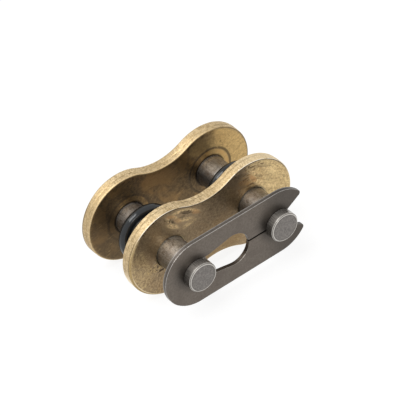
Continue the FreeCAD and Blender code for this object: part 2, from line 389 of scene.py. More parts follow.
class DressedPlate:
    """A plate as punched and used: rolled rim, sheared and torn edge, rubbed and dented faces."""

    # The edge, in millimetres: the punch rolls its outward rim, shears it and then tears it
    ROLL_DEPTH = 0.28
    ROLL_WIDTH = 0.24
    ROLL_WIDER_LEFT = 0.22
    ROLL_WIDENS = (10.0, 14.5)
    ROLL_NARROWER_WAIST = 0.05
    ROLL_NARROWS = (-5.0, -2.0)
    ROLL_WAVER = 0.05
    ROLL_STEPS = 6
    SHEARED_DEPTHS = (0.42, 0.62, 0.84)
    SHEARED_INSET = 0.006
    SHEARED_GRAIN = 0.005
    TORN_DEPTH = 1.18
    TORN_WAVER = 0.16
    TORN_RAGGED = 0.05
    TORN_INSET = 0.045
    TORN_GRAIN = 0.022
    TORN_STEPS = 4
    INNER_INSET = 0.05
    INNER_ROUND = 0.18
    INNER_STEPS = 4

    # The net of points that the edge, the holes and the faces are made with
    OUTLINE_SPACING = 0.13
    HOLE_STEPS = 120
    NET = 0.22
    ROW_SHARE = 0.87
    NET_TO_OUTLINE = 0.75
    NET_TO_HOLE = 0.12
    TRACK_SPACING = 0.1
    TRACK_CIRCLES = 5
    MERGED = 1e-6
    SHARP_ANGLE = math.radians(40)

    # Wear on the faces, in millimetres; it fades in from the outline and from the holes
    WORN_DEPTH = 0.008
    WORN_DETAIL = 0.003
    TRACK_HALF_WIDTH = 0.25
    TRACK_DEPTHS = (0.010, 0.022)
    FADE_FROM_OUTLINE = (0.5, 1.6)
    FADE_FROM_HOLE = (0.05, 0.55)

    # Dents under the cover's scuffs as (x, z, half width, half height, strength)
    DENTS = ((-4.9, 4.8, 2.6, 1.2, 1.0), (-11.0, -1.6, 1.6, 0.8, 0.7))
    DENT_DEPTH = 0.05

    def __init__(self, name, node, outward, hole_path):
        self.outer_y = outer_face_y(node, outward)
        self.outward = outward
        self.hole_path = hole_path
        self.outline = Outline(self.OUTLINE_SPACING)
        self.verts = []
        self.faces = []
        side = self.side()
        holes = [self.hole(x) for x in PIN_PLACES]
        self.face([ring[0] for ring in side], [[ring[0] for ring in hole] for hole in holes], False)
        self.face([ring[-1] for ring in side], [[ring[-1] for ring in hole] for hole in holes], True)
        data = bpy.data.meshes.new(name)
        data.from_pydata([self.placed(*vert) for vert in self.verts], [], self.faces)
        mesh = bmesh.new()
        mesh.from_mesh(data)
        bmesh.ops.recalc_face_normals(mesh, faces=mesh.faces)
        mesh.to_mesh(data)
        mesh.free()
        data.shade_smooth()
        data.set_sharp_from_angle(angle=self.SHARP_ANGLE)
        self.piece = bpy.data.objects.new(name, data)
        bpy.context.scene.collection.objects.link(self.piece)

    def placed(self, x, z, depth):
        """A place in the plate's plane and its depth below the outward face, in the frame's metres."""
        return Vector((x, self.outer_y - self.outward * depth, z + AXIS_Z / MM)) * MM

    def hole_radius(self, inward):
        """The holes' radius where they meet a face."""
        return self.hole_path[-1 if inward else 0][0]

    def vert(self, x, z, depth):
        """Adds a vertex and returns its number."""
        self.verts.append((x, z, depth))
        return len(self.verts) - 1

    def profile(self, x, z):
        """Steps inwards and down, from the outward face over the edge to the inward face."""
        roll = self.ROLL_WIDTH + self.ROLL_WIDER_LEFT * ramp(-x, *self.ROLL_WIDENS)
        roll -= self.ROLL_NARROWER_WAIST * ramp(-abs(x), *self.ROLL_NARROWS)
        roll += self.ROLL_WAVER * wave(2.5, x, z, 3.0)
        torn = self.TORN_DEPTH + self.TORN_WAVER * wave(1.3, x, z, 7.0)
        torn += self.TORN_RAGGED * wave(0.3, x, z, 1.0)
        steps = []
        for i in range(self.ROLL_STEPS + 1):
            turn = math.pi / 2 * i / self.ROLL_STEPS
            steps.append((roll * (1 - math.sin(turn)), self.ROLL_DEPTH * (1 - math.cos(turn))))
        for depth in (*self.SHEARED_DEPTHS, torn - 0.05):
            steps.append((self.SHEARED_INSET + self.SHEARED_GRAIN * wave(0.22, x, z, depth * 0.1), depth))
        lowest = PLATE_THICKNESS - self.INNER_ROUND
        for i in range(self.TORN_STEPS + 1):
            depth = between(torn + 0.03, lowest, i / self.TORN_STEPS)
            steps.append((self.TORN_INSET + self.TORN_GRAIN * wave(0.3, x, z, depth), depth))
        for i in range(1, self.INNER_STEPS + 1):
            turn = math.pi / 2 * i / self.INNER_STEPS
            inwards = self.INNER_INSET + self.INNER_ROUND * (1 - math.cos(turn))
            steps.append((inwards, lowest + self.INNER_ROUND * math.sin(turn)))
        return steps

    def side(self):
        """The edge all round: one list of vertices for each sample of the outline."""
        rings = []
        for i in range(len(self.outline.samples)):
            steps = self.profile(*self.outline.at(i, 0))
            rings.append([self.vert(*self.outline.at(i, inwards), depth) for inwards, depth in steps])
        self.skin(rings)
        return rings

    def hole(self, x):
        """The wall of a pin's hole."""
        rings = []
        for i in range(self.HOLE_STEPS):
            turn = 2 * math.pi * i / self.HOLE_STEPS
            cos, sin = math.cos(turn), math.sin(turn)
            places = [(x + radius * cos, radius * sin, depth) for radius, depth in self.hole_path]
            rings.append([self.vert(*place) for place in places])
        self.skin(rings)
        return rings

    def skin(self, rings):
        """Four-sided faces between each list of vertices and the next, closed all round."""
        for ring, after in zip(rings, rings[1:] + rings[:1]):
            for k in range(len(ring) - 1):
                self.faces.append((ring[k], ring[k + 1], after[k + 1], after[k]))

    def sink(self, x, z, inward):
        """How far wear and dents take a face below its own plane."""
        level = 5.0 * inward + 2.0 * self.outward
        down = self.WORN_DEPTH * (1 + wave(2.9, x, z, level))
        down += self.WORN_DETAIL * (1 + wave(0.8, x, z, level))
        if not inward and self.outward < 0:
            dent = 0.0
            for dent_x, dent_z, across, up, strength in self.DENTS:
                dent += strength * math.exp(-((x - dent_x) / across) ** 2 - ((z - dent_z) / up) ** 2)
            ragged = 0.3 + wave(0.9, x, z, level) + 0.5 * wave(0.4, x, z, level)
            down += self.DENT_DEPTH * dent * max(0.0, ragged)
        if inward:
            for pin, depth in zip(PIN_PLACES, self.TRACK_DEPTHS):
                off = (math.hypot(x - pin, z) - RING_TRACK_RADIUS) / self.TRACK_HALF_WIDTH
                down += depth * math.exp(-off ** 2)
        return down

    def net(self, inward):
        """Points spread over a face, in circles where the ring's track is."""
        points = []
        clear = self.hole_radius(inward) + self.NET_TO_HOLE
        circles = range(-self.TRACK_CIRCLES, self.TRACK_CIRCLES + 1)
        tracks = [RING_TRACK_RADIUS + self.TRACK_SPACING * i for i in circles] if inward else []
        apart = self.TRACK_SPACING + 0.01
        rows = int(LOBE_RADIUS / self.NET / self.ROW_SHARE) + 1
        columns = int((HALF_PITCH + LOBE_RADIUS) / self.NET) + 1
        for row in range(-rows, rows + 1):
            for column in range(-columns, columns + 1):
                x = (column + 0.5 * (row % 2)) * self.NET
                z = row * self.NET * self.ROW_SHARE
                near = from_nearer_pin(x, z)
                on_track = tracks and tracks[0] - apart < near < tracks[-1] + apart
                if near > clear and not on_track and self.outline.depth(x, z) > self.NET_TO_OUTLINE:
                    points.append((x, z))
        for radius in tracks:
            count = int(2 * math.pi * radius / self.NET)
            for i in range(count):
                turn = 2 * math.pi * i / count
                for pin in PIN_PLACES:
                    points.append((pin + radius * math.cos(turn), radius * math.sin(turn)))
        return points

    def face(self, rim, holes, inward):
        """A face as a fine net of triangles between the rim and the two holes."""
        loops = [rim] + holes
        known = [index for loop in loops for index in loop]
        edges = []
        first = 0
        for loop in loops:
            count = len(loop)
            edges += [(first + i, first + (i + 1) % count) for i in range(count)]
            first += count
        places = [Vector(self.verts[index][:2]) for index in known]
        places += [Vector(point) for point in self.net(inward)]
        points, _, triangles, origins, _, _ = geometry.delaunay_2d_cdt(places, edges, [], 1, self.MERGED)
        plane = PLATE_THICKNESS if inward else 0.0
        index = []
        for (x, z), origin in zip(points, origins):
            source = min(origin) if origin else len(known)
            if source < len(known):
                index.append(known[source])
                continue
            off_hole = from_nearer_pin(x, z) - self.hole_radius(inward)
            fade = ramp(self.outline.depth(x, z), *self.FADE_FROM_OUTLINE)
            fade *= ramp(off_hole, *self.FADE_FROM_HOLE)
            down = self.sink(x, z, inward) * fade
            index.append(self.vert(x, z, plane - down if inward else plane + down))
        in_holes = {vert for loop in holes for vert in loop}
        for triangle in triangles:
            corners = [index[corner] for corner in triangle]
            if not in_holes.issuperset(corners):
                self.faces.append(corners)


class Graph:
    """A material's node tree, with short calls for the nodes that the finishes use.

    Places and sizes are in millimetres, and heights count from the pins' axes. A mask is
    1 where it holds and 0 where it doesn't.
    """

    def __init__(self, name):
        self.material = bpy.data.materials.new(name)
        self.material.use_nodes = True
        self.tree = self.material.node_tree
        self.shader = self.tree.nodes["Principled BSDF"]
        place = self.tree.nodes.new("ShaderNodeTexCoord").outputs["Object"]
        centred = self.vector("SUBTRACT", place, (0, 0, AXIS_Z))
        self.place = self.vector("MULTIPLY", centred, (1 / MM, 1 / MM, 1 / MM))
        self.x, self.y, self.z = self.split(self.place)
        normal = self.tree.nodes.new("ShaderNodeTexCoord").outputs["Normal"]
        self.normal = self.split(normal)

    def set(self, **values):
        """Constants on the shader's own sockets."""
        for name, value in values.items():
            self.shader.inputs[name.replace("_", " ")].default_value = value

    def link(self, value, socket):
        if isinstance(value, bpy.types.NodeSocket):
            self.tree.links.new(value, socket)
        else:
            socket.default_value = value

    def math(self, operation, a, b=0.0):
        node = self.tree.nodes.new("ShaderNodeMath")
        node.operation = operation
        self.link(a, node.inputs[0])
        self.link(b, node.inputs[1])
        return node.outputs[0]

    def add(self, a, b):
        return self.math("ADD", a, b)

    def less(self, a, b):
        """The first less the second."""
        return self.math("SUBTRACT", a, b)

    def times(self, a, *others):
        for other in others:
            a = self.math("MULTIPLY", a, other)
        return a

    def most(self, a, *others):
        """The largest of several masks."""
        for other in others:
            a = self.math("MAXIMUM", a, other)
        return a

    def not_in(self, mask):
        return self.less(1.0, mask)

    def blend(self, *parts):
        """The sum of several values, each given as (value, share)."""
        total = 0.0
        for value, share in parts:
            total = self.add(total, self.times(value, share))
        return total

    def swing(self, noise, reach):
        """Noise moved to lie about zero, times its reach."""
        return self.times(self.less(noise, 0.5), reach)

    def vector(self, operation, a, b=(0, 0, 0)):
        node = self.tree.nodes.new("ShaderNodeVectorMath")
        node.operation = operation
        self.link(a, node.inputs[0])
        self.link(b, node.inputs[1])
        return node.outputs["Value" if operation == "LENGTH" else "Vector"]

    def split(self, vector):
        node = self.tree.nodes.new("ShaderNodeSeparateXYZ")
        self.link(vector, node.inputs[0])
        return node.outputs["X"], node.outputs["Y"], node.outputs["Z"]

    def join(self, x, y, z):
        node = self.tree.nodes.new("ShaderNodeCombineXYZ")
        for value, socket in zip((x, y, z), node.inputs):
            self.link(value, socket)
        return node.outputs[0]

    def step(self, value, low, high):
        """0 at low and 1 at high, smooth between; low may be the larger."""
        node = self.tree.nodes.new("ShaderNodeMapRange")
        node.interpolation_type = "SMOOTHSTEP"
        self.link(value, node.inputs["Value"])
        node.inputs["From Min"].default_value = low
        node.inputs["From Max"].default_value = high
        return node.outputs["Result"]

    def band(self, value, centre, half, soft):
        """1 within half of the centre value, fading out over soft."""
        off = self.math("ABSOLUTE", self.less(value, centre))
        return self.step(off, half + soft, half)

    def facing(self):
        """1 on surfaces square to the pins' axes, 0 on those along them."""
        return self.math("ABSOLUTE", self.normal[1])

    def from_point(self, x, z, across=1.0, up=1.0):
        """Distance from a point of the plates' plane, squeezed to an ellipse."""
        dx = self.math("DIVIDE", self.less(self.x, x), across)
        dz = self.math("DIVIDE", self.less(self.z, z), up)
        return self.vector("LENGTH", self.join(dx, dz, 0.0))

    def from_pins(self):
        """Distance from the nearer pin's axis."""
        off = self.less(self.math("ABSOLUTE", self.x), HALF_PITCH)
        return self.vector("LENGTH", self.join(off, self.z, 0.0))

    def patch(self, place, ragged, noise):
        """A soft ellipse on the plates' plane, its outline made ragged by noise."""
        distance = self.add(self.from_point(*place), self.swing(noise, ragged))
        return self.step(distance, 1.25, 0.7)

    def scratch(self, x, z, tilt, length, width, noise):
        """A ragged stroke on the plates' plane, tilted up from +X by degrees."""
        cos, sin = math.cos(math.radians(tilt)), math.sin(math.radians(tilt))
        dx = self.less(self.x, x)
        dz = self.less(self.z, z)
        u = self.blend((dx, 2 * cos / length), (dz, 2 * sin / length))
        w = self.blend((dx, -2 * sin / width), (dz, 2 * cos / width))
        distance = self.vector("LENGTH", self.join(u, w, 0.0))
        distance = self.add(distance, self.swing(noise, SCRATCH_RAGGED))
        return self.step(distance, 1.35, 0.55)

    def scratches(self, noise, marks):
        """Scratches laid over each other, each with its own strength."""
        return self.most(*[self.times(self.scratch(*mark, noise), strength) for *mark, strength in marks])

    def noise(self, size, detail, rough, warp=0.0, stretch=(1, 1, 1), shift=(0, 0, 0), at=None):
        """Noise whose spots are about size across, stretched along the axes."""
        place = self.place if at is None else at
        scaled = self.vector("MULTIPLY", place, tuple(1 / (size * s) for s in stretch))
        moved = self.vector("ADD", scaled, shift)
        node = self.tree.nodes.new("ShaderNodeTexNoise")
        self.link(moved, node.inputs["Vector"])
        node.inputs["Scale"].default_value = 1.0
        node.inputs["Detail"].default_value = detail
        node.inputs["Roughness"].default_value = rough
        node.inputs["Distortion"].default_value = warp
        return node.outputs["Fac"]

    def arc_noise(self, x, along, across):
        """Noise drawn out into arcs about a pin's axis, as long as stated 5 mm away from it."""
        dx = self.less(self.x, x)
        angle = self.math("ARCTAN2", self.z, dx)
        radius = self.vector("LENGTH", self.join(dx, self.z, 0.0))
        at = self.join(self.times(angle, 5.0 / along), self.math("DIVIDE", radius, across), 0.0)
        return self.noise(1.0, 4, 0.6, 0.5, at=at)

    def stroke_noise(self, tilt, along, across, shift):
        """Noise drawn out into straight strokes, tilted up from +X by degrees."""
        cos, sin = math.cos(math.radians(tilt)), math.sin(math.radians(tilt))
        u = self.blend((self.x, cos / along), (self.z, sin / along))
        w = self.blend((self.x, -sin / across), (self.z, cos / across))
        return self.noise(1.0, 4, 0.65, 0.4, at=self.join(u, w, 0.0), shift=shift)

    def mix(self, factor, a, b):
        node = self.tree.nodes.new("ShaderNodeMix")
        node.data_type = "RGBA"
        self.link(factor, node.inputs["Factor"])
        self.link(a if isinstance(a, bpy.types.NodeSocket) else (*a, 1), node.inputs["A"])
        self.link(b if isinstance(b, bpy.types.NodeSocket) else (*b, 1), node.inputs["B"])
        return node.outputs["Result"]

    def shades(self, value, low, high, tones):
        """A pair's first tone where the value is low, and its second where it is high."""
        return self.mix(self.step(value, low, high), *tones)

    def tint(self, colour, tone, *masks):
        """A tone laid over a colour where all masks hold; a plain number is a strength."""
        return self.mix(self.times(*masks), colour, tone)

    def colour(self, value):
        self.link(value, self.shader.inputs["Base Color"])

    def rough(self, value):
        self.link(value, self.shader.inputs["Roughness"])

    def bump(self, height, distance):
        """Raises the surface by height times distance, in millimetres."""
        node = self.tree.nodes.new("ShaderNodeBump")
        node.inputs["Strength"].default_value = 1.0
        node.inputs["Distance"].default_value = distance * MM
        self.link(height, node.inputs["Height"])
        self.link(node.outputs["Normal"], self.shader.inputs["Normal"])


class PlateGraph(Graph):
    """A plate's node tree, with the noises and masks that its edge, faces and rims share."""

    def __init__(self, name, node, outward):
        super().__init__(name)
        self.is_cover = outward < 0
        self.depth = self.times(self.less(outer_face_y(node, outward), self.y), outward)
        self.broad = self.noise(5, 3, 0.6, 0.5)
        self.cloud = self.noise(1.6, 4, 0.6, 0.6, shift=(3, 1, 7))
        self.fine = self.noise(0.40, 5, 0.68, 0.5, shift=(7, 3, 2))
        self.grain = self.noise(0.13, 3, 0.6, shift=(1, 8, 5))
        self.lines = self.noise(0.27, 5, 0.70, 0.6, stretch=(1, 2.2, 1), shift=(4, 4, 1))
        self.arcs = self.arc_noise(RIGHT_PIN_X / MM, 3.2, 0.28)
        self.strokes = self.stroke_noise(-33 if self.is_cover else 12, 1.9, 0.24, shift=(2, 5, 0))
        # 1 on the outward face and -1 on the inward one
        self.outside = self.times(self.normal[1], outward)
        # 0 on the edge's wall and 1 on both faces, with the rims between
        facing = self.math("MINIMUM", self.facing(), 1.0)
        self.around = self.math("DIVIDE", self.math("ARCSINE", facing), math.pi / 2)
        self.face = self.step(self.around, 0.86, 0.98)

    def mottle(self):
        """Grain, arcs, spots and strokes together."""
        return self.blend((self.grain, 0.2), (self.arcs, 0.2), (self.fine, 0.35), (self.strokes, 0.25))


def plate_edge(g):
    """The plates' edge: tan, grained across the thickness, with a line where the shear ends, painted shade
    in places and painted light on the cover's lower left.
    """
    edge = g.shades(g.lines, 0.32, 0.64, EDGE_GRAIN)
    edge = g.tint(edge, EDGE_CLOUD, g.step(g.cloud, 0.50, 0.70), 0.45)
    edge = g.tint(edge, EDGE_SPECK, g.step(g.grain, 0.55, 0.62), g.step(g.fine, 0.42, 0.55), 0.85)
    wander = g.swing(g.noise(1.3, 3, 0.5, shift=(2, 2, 9)), 0.5)
    torn = g.band(g.add(g.depth, wander), DressedPlate.TORN_DEPTH + 0.02, 0.04, 0.08)
    edge = g.tint(edge, TORN_LINE, torn, g.step(g.cloud, 0.38, 0.50), 0.8)
    if g.is_cover:
        edge = g.tint(edge, EDGE_RUBBED, g.step(g.x, 6.0, 10.0), 0.40)
        # painted shade on the cover's edge at the waist and on the left
        edge = g.tint(edge, EDGE_PAINTED_SHADE, g.band(g.x, 3.2, 1.8, 2.5), 0.40)
        edge = g.tint(edge, EDGE_PAINTED_SHADE, g.step(g.x, -8.0, -11.5), 0.25)
        # painted light on the lower left of the cover's edge
        return g.tint(edge, EDGE_PAINTED_LIGHT, g.step(g.z, 0.5, -2.5), g.step(g.x, -10.0, -13.0), 0.80)
    # painted shade on the rear plate's edge, over its right part and its far left
    edge = g.tint(edge, EDGE_PAINTED_SHADE, g.step(g.x, -6.0, -1.0), 0.35)
    return g.tint(edge, EDGE_PAINTED_SHADE, g.step(g.x, -9.0, -11.5), 0.45)


def cover_wear(g):
    """Where the cover is rubbed to gold, its right lobe partly as a painted reflection, and where it is
    stained.
    """
    ragged = g.add(g.swing(g.cloud, 1.3), g.swing(g.fine, 0.7))
    # the right lobe's gold: rubbed streaks over a painted reflection that brightens the whole lobe
    lobe = g.add(g.from_point(*COVER_LOBE_WEAR_AND_REFLECTION), ragged)
    pattern = g.blend((g.arcs, 0.25), (g.strokes, 0.35), (g.fine, 0.40))
    streaked = g.add(g.times(g.step(pattern, 0.41, 0.58), 0.52), 0.46)
    chips = g.patch(COVER_CHIPS, 1.6, g.fine)
    rubbed = g.most(
        g.times(g.step(lobe, 1.15, 0.80), streaked),
        g.times(g.patch(COVER_SWEEP, 1.2, g.fine), g.step(g.arcs, 0.45, 0.58), 0.75),
        g.times(g.patch(COVER_TOP, 1.0, g.fine), g.step(g.fine, 0.34, 0.56), 0.7),
        g.times(g.patch(COVER_CORNER, 1.0, g.fine), 0.7),
        g.times(chips, g.step(g.fine, 0.50, 0.43), 0.9),
        g.times(g.patch(COVER_LOWER, 1.0, g.cloud), g.step(g.fine, 0.42, 0.66), 0.20),
        g.times(g.patch(COVER_FLANK, 0.9, g.cloud), g.step(g.fine, 0.34, 0.62), 0.45),
    )
    dark = g.step(g.blend((g.arcs, 0.6), (g.fine, 0.4)), 0.50, 0.42)
    stain = g.most(
        g.times(g.band(lobe, 1.10, 0.12, 0.22), dark, g.step(g.z, -1.0, 2.0), 0.65),
        g.times(chips, g.step(g.fine, 0.50, 0.57), 0.9),
        g.patch(COVER_NICK, 1.2, g.fine),
    )
    return rubbed, stain


def cover_film(g):
    """The cover's film with painted shade in places, its gold, where it is rubbed to gold (on the right
    lobe partly a painted reflection) and where it is stained.
    """
    film = g.shades(g.fine, 0.28, 0.72, COVER_FILM)
    film = g.tint(film, WARM_FILM, g.step(g.broad, 0.46, 0.62), 0.25)
    # a patch of painted shade on the upper right, which also holds back the gold there
    dull = g.patch(COVER_PAINTED_SHADE, 0.9, g.cloud)
    film = g.tint(film, PAINTED_SHADE_FILM, dull, 0.50)
    film = g.tint(film, LOW_FILM, g.patch(COVER_LOW_SHADE, 0.8, g.cloud), 0.25)
    film = g.tint(film, WAIST_FILM, g.patch(COVER_WAIST_SHADE, 0.8, g.cloud), 0.6)
    gold = g.shades(g.mottle(), 0.40, 0.59, COVER_GOLD)
    rubbed, stain = cover_wear(g)
    return film, gold, g.times(rubbed, g.not_in(g.times(dull, 0.6))), stain


def rear_film(g):
    """The rear plate's film with painted shade on its left, its gold, where it is rubbed to gold inside
    (on the right lobe partly a painted reflection) and where it is stained.
    """
    film = g.shades(g.fine, 0.28, 0.72, REAR_FILM)
    film = g.tint(film, WARM_FILM, g.step(g.broad, 0.46, 0.62), 0.55)
    film = g.tint(film, REAR_LEFT_FILM, g.patch(REAR_LEFT_SHADE, 0.6, g.cloud), 0.48)
    gold = g.shades(g.mottle(), 0.30, 0.70, REAR_GOLD)
    # the right lobe's gold: rubbed, and painted reflection that brightens it
    lobe = g.add(g.from_point(*REAR_LOBE_WEAR_AND_REFLECTION), g.swing(g.cloud, 0.9))
    mottled = g.add(g.times(g.step(g.fine, 0.30, 0.70), 0.30), 0.60)
    upper = g.times(g.patch(REAR_UPPER_WEAR_AND_REFLECTION, 0.8, g.cloud), 0.32)
    rubbed = g.most(g.times(g.step(lobe, 1.35, 0.70), mottled), upper)
    stain = g.times(g.step(g.noise(0.7, 5, 0.7, 0.8, shift=(1, 2, 3)), 0.60, 0.68), 0.6)
    return film, gold, g.times(rubbed, g.step(g.outside, 0.3, -0.3)), stain


def scratched(g, plain):
    """The scraped patch on the cover's left lobe, and the strokes rubbed into its right lobe."""
    scraped = g.patch(COVER_SCRAPE, 1.0, g.fine)
    plain = g.tint(plain, SCRAPED_GROUND, scraped, g.step(g.cloud, 0.34, 0.56), 0.75)
    thin = g.stroke_noise(-38, 1.1, 0.13, shift=(1, 4, 0))
    drawn = g.step(g.blend((thin, 0.6), (g.fine, 0.4)), 0.40, 0.54)
    light = g.times(g.scratches(g.fine, LIGHT_SCRATCHES), g.add(g.times(drawn, 0.8), 0.2))
    plain = g.mix(light, plain, g.shades(g.fine, 0.34, 0.60, SCRATCH_GOLD))
    plain = g.tint(plain, SCRATCH_RUDDY, g.scratches(g.fine, RUDDY_SCRATCHES))
    dark = g.times(g.scratches(g.fine, DARK_SCRATCHES), g.add(g.times(drawn, -0.35), 1.0))
    return g.tint(plain, SCRATCH_DARK, dark)


def pin_marks(g, plain):
    """Round the pins: the sealing rings' tracks on the inward face, and painted shade at the holes."""
    inside = g.step(g.outside, -0.3, -0.8)
    worn = g.step(g.blend((g.fine, 0.5), (g.cloud, 0.5)), 0.38, 0.56)
    for x, bared, pressed in zip(PIN_PLACES, (0.35, 0.80), (0.6, 1.0)):
        from_pin = g.from_point(x, 0.0)
        upper_right = g.step(g.add(g.x, g.z), x + 0.3, x + 3.6)
        in_track = g.step(from_pin, RING_TRACK_RADIUS - 0.09, RING_TRACK_RADIUS - 0.29)
        off_pin = g.step(from_pin, PIN_RADIUS + 0.18, PIN_RADIUS + 0.68)
        plain = g.tint(plain, TRACK_BARED, in_track, inside, upper_right, worn, off_pin, bared)
        track = g.times(g.band(from_pin, RING_TRACK_RADIUS + 0.07, 0.10, 0.24), inside, pressed)
        plain = g.tint(plain, TRACK_GRIME, track, g.step(g.cloud, 0.24, 0.46), 0.75)
        # painted shade in the gap round each hole
        plain = g.tint(plain, HOLE_PAINTED_SHADE, g.step(from_pin, PIN_RADIUS + 0.43, PIN_RADIUS + 0.16), 0.85)
    return plain


def plate_face(g):
    """A plate's faces: brown film with faint golden strokes, rubbed (on the right lobes partly a painted
    reflection), stained, pitted and marked, with painted shade in places.
    """
    film, gold, rubbed, stain = cover_film(g) if g.is_cover else rear_film(g)
    faint = g.times(g.step(g.strokes, 0.54, 0.68), g.step(g.cloud, 0.42, 0.60), 0.30)
    plain = g.mix(g.most(rubbed, faint), film, gold)
    if g.is_cover:
        plain = g.tint(plain, RUST, g.patch(COVER_RUST, 0.9, g.cloud), g.step(g.fine, 0.56, 0.40), 0.6)
        plain = scratched(g, plain)
    pits = g.step(g.noise(0.20, 3, 0.6, 0.4, shift=(9, 2, 4)), 0.60, 0.68)
    pits = g.times(pits, g.step(g.cloud, 0.46, 0.60), g.not_in(g.times(rubbed, 0.5)), 0.55)
    return pin_marks(g, g.tint(plain, STAIN, g.most(pits, stain)))


def rimmed(g, edge, plain):
    """Edge and faces joined by their rims: gold where the roll is rubbed, with dark lines, painted shade
    and painted highlights.
    """
    rim = g.shades(g.grain, 0.40, 0.60, RIM_GOLD)
    rim = g.tint(rim, RIM_SPECK, g.step(g.grain, 0.57, 0.66), g.step(g.fine, 0.42, 0.55), 0.8)
    front = g.step(g.outside, 0.0, 0.1)
    back = g.step(g.outside, 0.0, -0.1)
    upper = g.times(g.step(g.z, 1.5, 4.0), front)
    leftmost = g.step(g.blend((g.x, 1.0), (g.z, 0.6)), -8.5, -11.5)
    turned = g.times(g.band(g.around, 0.50, 0.30, 0.08), front, leftmost)
    colour = g.mix(g.face, g.mix(turned, edge, rim), plain)

    # a dark line where the edge starts, a band of painted shade at the face and a broken line of painted
    # highlight on top
    start = g.times(g.band(g.depth, 0.33, 0.03, 0.06), g.step(g.cloud, 0.34, 0.46))
    colour = g.tint(colour, RIM_START, start, g.not_in(g.face), leftmost, 0.9)
    colour = g.tint(colour, RIM_SHADE, g.band(g.around, 0.77, 0.14, 0.06), upper, g.not_in(leftmost), 0.9)
    broken = g.step(g.noise(2.4, 3, 0.6, shift=(6, 1, 3)), 0.34, 0.48)
    lobes = g.add(g.times(g.step(g.math("ABSOLUTE", g.x), 2.0, 6.0), 0.35), 0.30)
    bright = g.times(g.band(g.around, 0.50, 0.09, 0.06), upper, broken, lobes)
    colour = g.tint(colour, RIM_PAINTED_HIGHLIGHT, bright, g.not_in(g.times(leftmost, 0.75)))

    # the inward rim with a painted golden highlight on the left and dark at the far right, and the outward
    # roll darkened on the left as painted shade
    golden = g.times(g.band(g.around, 0.40, 0.22, 0.10), back, g.step(g.x, 11.0, 8.0))
    colour = g.tint(colour, INNER_RIM_HIGHLIGHT, golden, 0.45)
    roll_shade = g.times(g.band(g.around, 0.24, 0.14, 0.08), upper, g.step(g.x, -1.0, -4.0))
    colour = g.tint(colour, ROLL_PAINTED_SHADE, roll_shade, 0.35)
    dark = g.times(g.band(g.around, 0.72, 0.18, 0.08), back, g.step(g.x, 8.5, 11.0))
    return g.tint(colour, INNER_RIM_DARK, dark, 0.7)


def gold_plate(name, node, outward):
    """Gold-coloured plate: grained edge, brown faces rubbed through to gold (on the right lobes partly a
    painted reflection), crisp worn rims, and painted shade, light and highlights in places.
    """
    g = PlateGraph(name, node, outward)
    g.set(Metallic=0.92)
    g.colour(rimmed(g, plate_edge(g), plate_face(g)))
    off_face = g.not_in(g.face)
    g.rough(g.add(g.blend((g.fine, 0.22), (off_face, 0.12)), 0.28))
    on_face = g.times(g.face, g.blend((g.arcs, 0.25), (g.strokes, 0.5)))
    relief = g.add(g.times(off_face, g.lines, 0.8), on_face)
    g.bump(g.add(relief, g.blend((g.grain, 0.6), (g.cloud, 1.0))), 0.02)
    return g.material


def pin_side(g, cloud, fine, grain, drawn):
    """Ground journals, brown in clouds, with painted shade underneath and over the right pin and a painted
    highlight along the upper left, and turned free ends with the same painted shade underneath.
    """
    side = g.shades(g.blend((fine, 0.6), (drawn, 0.4)), 0.36, 0.60, JOURNAL)
    side = g.tint(side, JOURNAL_BROWN, g.step(cloud, 0.48, 0.62), 0.5)
    side = g.tint(side, JOURNAL_LIGHT, g.step(cloud, 0.44, 0.39), 0.4)
    side = g.tint(side, PIN_SPECK, g.step(grain, 0.55, 0.64), g.step(fine, 0.48, 0.60), 0.75)
    # painted shade on the underside and the lower left
    downward = g.blend((g.normal[2], 0.8), (g.normal[0], 0.6))
    under = g.step(g.add(downward, g.swing(cloud, 0.5)), 0.15, -0.45)
    side = g.tint(side, PIN_PAINTED_SHADE, under, 0.62)
    # a painted highlight along the upper left side
    rubbed = g.times(g.band(g.normal[0], -0.38, 0.16, 0.18), g.step(g.normal[2], 0.3, 0.7))
    side = g.tint(side, JOURNAL_PAINTED_HIGHLIGHT, rubbed, g.step(fine, 0.36, 0.54), 0.18)
    # painted shade over the right pin
    side = g.tint(side, JOURNAL_PAINTED_SHADE, g.step(g.x, -4.0, 4.0), 0.28)
    # the free ends get the same painted shade underneath
    turned = g.tint(g.shades(drawn, 0.36, 0.64, TIP_TURNED), TIP_PAINTED_SHADE, under, 0.65)
    return g.mix(g.step(g.y, TIP_START_Y + 0.1, TIP_START_Y), side, turned)


def pin_end(g, cloud, fine, grain, radius):
    """A free end's face: dull and spotted, with a faint ring and a bright rim that is partly wear and
    partly painted highlight.
    """
    end = g.shades(fine, 0.34, 0.66, END_FACE)
    end = g.tint(end, END_LIGHT, g.step(grain, 0.56, 0.66), 0.35)
    end = g.tint(end, END_SPOT, g.step(g.noise(0.2, 4, 0.6, shift=(9, 9, 1)), 0.60, 0.70), 0.4)
    end = g.tint(end, END_RING, g.band(radius, END_FACE_RADIUS - 0.21, 0.03, 0.06), 0.45)
    # the bright rim: wear and painted highlight
    rim = g.band(radius, END_FACE_RADIUS - 0.07, 0.03, 0.06)
    return g.tint(end, END_RIM_WEAR_AND_HIGHLIGHT, rim, g.step(cloud, 0.30, 0.55), 0.7)


